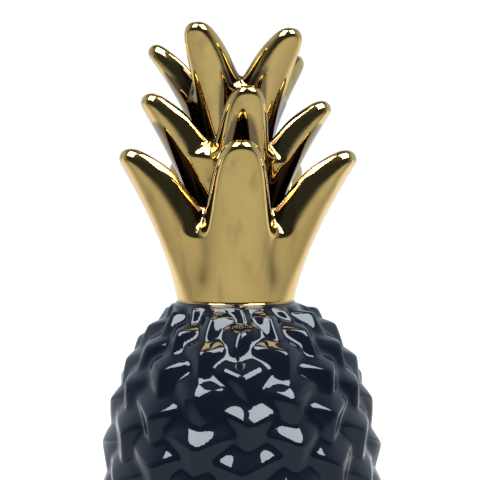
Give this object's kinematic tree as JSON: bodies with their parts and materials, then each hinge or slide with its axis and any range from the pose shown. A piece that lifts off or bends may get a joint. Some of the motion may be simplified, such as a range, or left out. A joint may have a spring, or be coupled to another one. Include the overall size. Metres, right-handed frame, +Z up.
{
  "type": "decorative pineapple",
  "caption": "Decorative glazed ceramic pineapple: a dark fruit with staggered keeled scales on a flat foot, and a gold crown of thick curling leaves in stepped tiers.",
  "frame": {"origin": "middle of the flat foot, on the surface the ornament stands on", "axes": "+Z up through the fruit and the crown; -Y is the front, the side that the picture shows"},
  "size_m": [0.1118, 0.113, 0.2462],
  "materials": {
    "black_glaze": "high gloss",
    "gold_lustre": "mirror gold lustre over glaze"
  },
  "bodies": {
    "root": {"pineapple": "black_glaze"}
  },
  "joints": []
}
